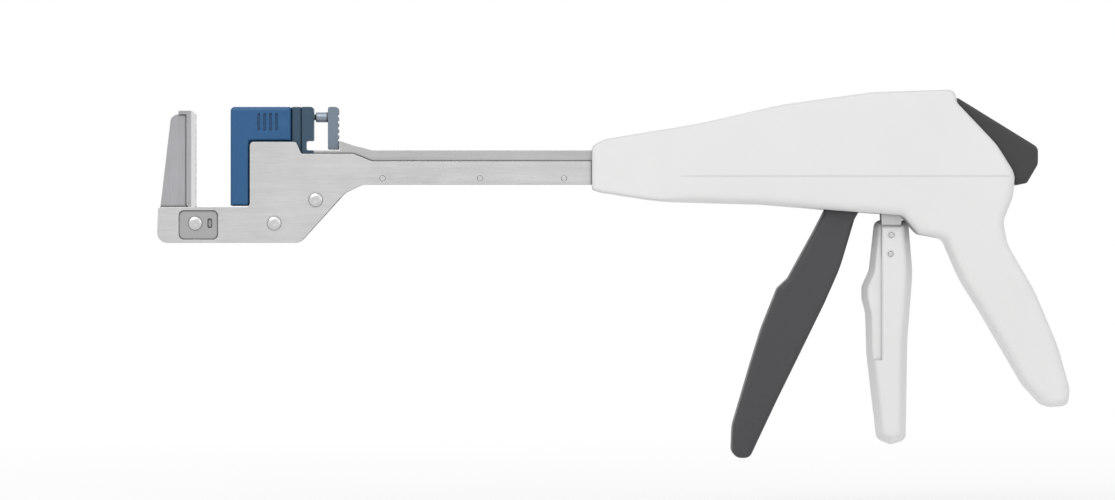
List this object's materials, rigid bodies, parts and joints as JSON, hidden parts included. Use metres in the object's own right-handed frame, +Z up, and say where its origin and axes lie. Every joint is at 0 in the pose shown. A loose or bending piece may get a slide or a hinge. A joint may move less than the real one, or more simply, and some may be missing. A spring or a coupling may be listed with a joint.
{
  "type": "surgical linear stapler",
  "caption": "Pistol-grip linear surgical stapler: U-shaped jaw, sliding blue cartridge, closing trigger, long firing trigger and rear release button.",
  "frame": {"origin": "middle of the grip, on the mid-plane", "axes": "+X along the barrel from the jaw to the handle, +Y across towards the instrument's right side, +Z up"},
  "size_m": [0.3362, 0.03, 0.1357],
  "materials": {
    "white_moulding": "fine matt moulded ABS",
    "charcoal_moulding": "matt glass-filled nylon",
    "blue_moulding": "satin polycarbonate",
    "frame_steel": "lengthwise brushed stainless steel",
    "anvil_steel": "ground stainless steel",
    "channel_steel": "rolled stainless steel, slightly darker",
    "pin_steel": "turned stainless steel",
    "knob_grey": "grey moulded nylon",
    "dark_post": "dark moulded nylon",
    "spring_steel": "spring wire",
    "staple_wire": "fine titanium wire",
    "inner_steel": "plain pressed steel"
  },
  "bodies": {
    "frame": {"left_handle_shell": "white_moulding", "right_handle_shell": "white_moulding", "left_frame_plate": "frame_steel", "right_frame_plate": "frame_steel", "anvil": "anvil_steel", "jaw_rivets": "anvil_steel", "barrel_rivets": "frame_steel", "anchor_pins": "inner_steel", "closing_pivot_pin": "inner_steel", "button_pin": "inner_steel"},
    "closing_lever": {"closing_trigger": "white_moulding", "left_closing_lever": "inner_steel", "right_closing_lever": "inner_steel", "lever_rivets": "inner_steel", "crank_pin": "inner_steel", "firing_pivot_studs": "inner_steel"},
    "firing_lever": {"firing_trigger": "charcoal_moulding", "drive_pin": "inner_steel"},
    "closure": {"closure_channel": "channel_steel", "pin_guide": "knob_grey", "cartridge_post": "dark_post", "cartridge": "blue_moulding", "spring_seat": "inner_steel", "closure_spring": "spring_steel", "firing_spring": "spring_steel"},
    "bar": {"firing_bar": "inner_steel", "pusher": "inner_steel"},
    "driver": {"staple_driver": "blue_moulding", "staples": "staple_wire"},
    "pin": {"retaining_pin": "pin_steel", "pin_knob": "knob_grey"},
    "button": {"release_button": "charcoal_moulding", "latch_pawl": "inner_steel", "button_spring": "spring_steel"}
  },
  "joints": [
    {"name": "closing_trigger_pivot", "type": "hinge", "parent": "frame", "child": "closing_lever", "pos_m": [-0.044, 0, 0.036], "axis": [0, -1, 0], "range_deg": [0, 28], "stiffness_Nm_per_rad": 0.6},
    {"name": "closure_slide", "type": "slide", "parent": "frame", "child": "closure", "axis": [-1, 0, 0], "range_m": [0, 0.01141], "deforming": ["closure_spring"]},
    {"name": "firing_trigger_pivot", "type": "hinge", "parent": "closing_lever", "child": "firing_lever", "pos_m": [-0.05199, 0, 0.04857], "axis": [0, -1, 0], "range_deg": [0, 20], "stiffness_Nm_per_rad": 0.6},
    {"name": "firing_bar_slide", "type": "slide", "parent": "closure", "child": "bar", "axis": [-1, 0, 0], "range_m": [0, 0.00456], "deforming": ["firing_spring"]},
    {"name": "driver_slide", "type": "slide", "parent": "closure", "child": "driver", "axis": [-1, 0, 0], "range_m": [0, 0.00421], "deforming": ["staples"]},
    {"name": "retaining_pin_slide", "type": "slide", "parent": "closure", "child": "pin", "axis": [-1, 0, 0], "range_m": [0, 0.00501]},
    {"name": "release_button_pivot", "type": "hinge", "parent": "frame", "child": "button", "pos_m": [-0.0216, 0, 0.0704], "axis": [0, 1, 0], "range_deg": [0, 5], "stiffness_Nm_per_rad": 0.5, "deforming": ["button_spring"]}
  ],
  "couplings": [
    {"joint": "closure_slide", "follows": "closing_trigger_pivot", "m_per_rad": 0.023328},
    {"joint": "retaining_pin_slide", "follows": "closing_trigger_pivot", "m_per_rad": 0.010231},
    {"joint": "firing_bar_slide", "follows": "firing_trigger_pivot", "m_per_rad": 0.013033},
    {"joint": "driver_slide", "follows": "firing_trigger_pivot", "m_per_rad": 0.012032}
  ]
}
